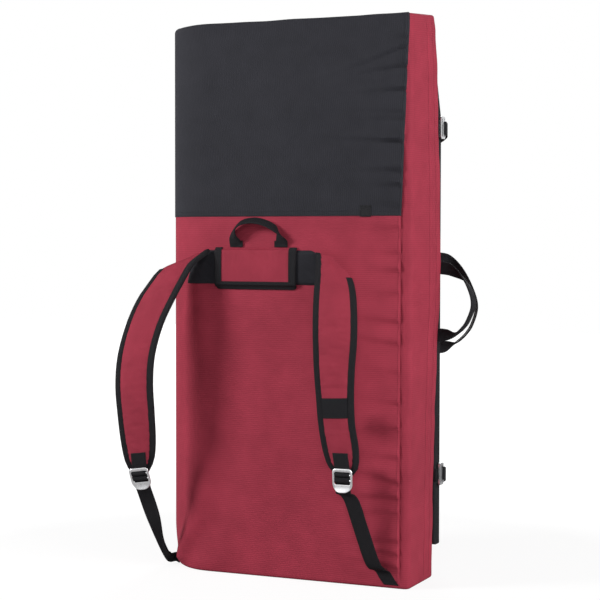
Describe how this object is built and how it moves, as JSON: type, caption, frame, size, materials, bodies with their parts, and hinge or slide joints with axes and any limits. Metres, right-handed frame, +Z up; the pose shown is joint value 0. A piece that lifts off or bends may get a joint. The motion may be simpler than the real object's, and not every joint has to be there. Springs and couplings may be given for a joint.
{
  "type": "folding bouldering crash pad",
  "caption": "Two-part foam crash pad, folded and stood on end, with padded shoulder straps, a hauling handle, side carry handles and a hooked closure flap.",
  "frame": {"origin": "middle of the near half's lower end, on the ground", "axes": "+Z up the folded pad, +X from the fold line to the open side, -Y out of the face that carries the shoulder straps"},
  "size_m": [0.6424, 0.3637, 1.056],
  "materials": {
    "red_canvas": "coated woven polyester with a fine rib",
    "black_canvas": "heavy coated woven nylon",
    "black_webbing": "woven polypropylene tape",
    "aluminium": "satin, lightly brushed",
    "closed_cell_foam": "closed-cell foam skin",
    "open_cell_foam": "open-cell foam",
    "zip_plastic": "woven tape with a moulded coil"
  },
  "bodies": {
    "near_half": {"near_cover": "red_canvas", "near_landing_foam": "closed_cell_foam", "near_core_foam": "open_cell_foam", "near_base_foam": "closed_cell_foam", "near_upper_panel": "black_canvas", "near_zip": "zip_plastic", "fold_web": "black_webbing", "harness_sleeve": "red_canvas", "sleeve_binding": "black_webbing", "yoke": "black_canvas", "pad_label": "black_webbing", "lower_webbing_left": "black_webbing", "lower_webbing_right": "black_webbing", "closure_tab_upper": "black_webbing", "closure_tab_lower": "black_webbing"},
    "near_zip_slider": {"near_zip_slider": "aluminium"},
    "haul_handle": {"haul_handle": "black_webbing"},
    "near_handle": {"near_handle": "black_webbing"},
    "strap_left": {"strap_pad_left": "red_canvas", "strap_binding_left": "black_webbing", "lock_stub_left": "black_webbing"},
    "strap_right": {"strap_pad_right": "red_canvas", "strap_binding_right": "black_webbing", "strap_label": "black_webbing", "lock_stub_right": "black_webbing"},
    "ladder_lock_left": {"ladder_lock_left": "aluminium"},
    "ladder_lock_right": {"ladder_lock_right": "aluminium"},
    "far_half": {"far_cover": "red_canvas", "far_landing_foam": "closed_cell_foam", "far_core_foam": "open_cell_foam", "far_base_foam": "closed_cell_foam", "far_upper_panel": "black_canvas", "far_zip": "zip_plastic"},
    "far_zip_slider": {"far_zip_slider": "aluminium"},
    "closure_flap": {"closure_flap": "red_canvas", "flap_binding": "black_webbing", "closure_strap_upper": "black_webbing", "closure_strap_lower": "black_webbing"},
    "closure_hook_upper": {"closure_hook_upper": "aluminium"},
    "closure_hook_lower": {"closure_hook_lower": "aluminium"},
    "far_handle": {"far_handle": "black_webbing"}
  },
  "joints": [
    {"name": "fold", "type": "hinge", "parent": "near_half", "child": "far_half", "pos_m": [-0.265, 0.065, 0], "axis": [0, 0, 1], "range_deg": [0, 180], "deforming": ["fold_web"]},
    {"name": "closure_flap_fold", "type": "hinge", "parent": "far_half", "child": "closure_flap", "pos_m": [0.2073, 0.1768, 0], "axis": [0, 0, 1], "range_deg": [0, 120]},
    {"name": "closure_hook_upper_tilt", "type": "hinge", "parent": "closure_flap", "child": "closure_hook_upper", "pos_m": [0.2728, 0.09905, 0.852], "axis": [0, 0, 1], "range_deg": [0, 25]},
    {"name": "closure_hook_lower_tilt", "type": "hinge", "parent": "closure_flap", "child": "closure_hook_lower", "pos_m": [0.2728, 0.09905, 0.195], "axis": [0, 0, 1], "range_deg": [0, 25]},
    {"name": "far_handle_swing", "type": "hinge", "parent": "closure_flap", "child": "far_handle", "pos_m": [0.25959, 0.11173, 0.5225], "axis": [0, 0, 1], "range_deg": [-15, 60]},
    {"name": "near_handle_swing", "type": "hinge", "parent": "near_half", "child": "near_handle", "pos_m": [0.2787, 0.0634, 0.5245], "axis": [0, 0, 1], "range_deg": [-45, 15]},
    {"name": "haul_handle_swing", "type": "hinge", "parent": "near_half", "child": "haul_handle", "pos_m": [-0.036, -0.07078, 0.6276], "axis": [1, 0, 0], "range_deg": [0, 75]},
    {"name": "near_zip_slide", "type": "slide", "parent": "near_half", "child": "near_zip_slider", "axis": [-1, 0, 0], "range_m": [0, 0.27]},
    {"name": "far_zip_slide", "type": "slide", "parent": "far_half", "child": "far_zip_slider", "axis": [-1, 0, 0], "range_m": [0, 0.21]},
    {"name": "strap_left_lift", "type": "hinge", "parent": "near_half", "child": "strap_left", "pos_m": [-0.15266, -0.07425, 0.6195], "axis": [-1, 0, 0], "range_deg": [0, 35], "deforming": ["lower_webbing_left"]},
    {"name": "ladder_lock_left_tilt", "type": "hinge", "parent": "strap_left", "child": "ladder_lock_left", "pos_m": [-0.2561, -0.13895, 0.19284], "axis": [-0.9763, -0.1711, -0.1322], "range_deg": [0, 15], "deforming": ["lock_stub_left"]},
    {"name": "strap_right_lift", "type": "hinge", "parent": "near_half", "child": "strap_right", "pos_m": [0.101, -0.07963, 0.6195], "axis": [-1, 0, 0], "range_deg": [0, 35], "deforming": ["lower_webbing_right"]},
    {"name": "ladder_lock_right_tilt", "type": "hinge", "parent": "strap_right", "child": "ladder_lock_right", "pos_m": [0.15473, -0.11823, 0.21204], "axis": [-0.9999, -0.0087, -0.006], "range_deg": [0, 15], "deforming": ["lock_stub_right"]}
  ]
}
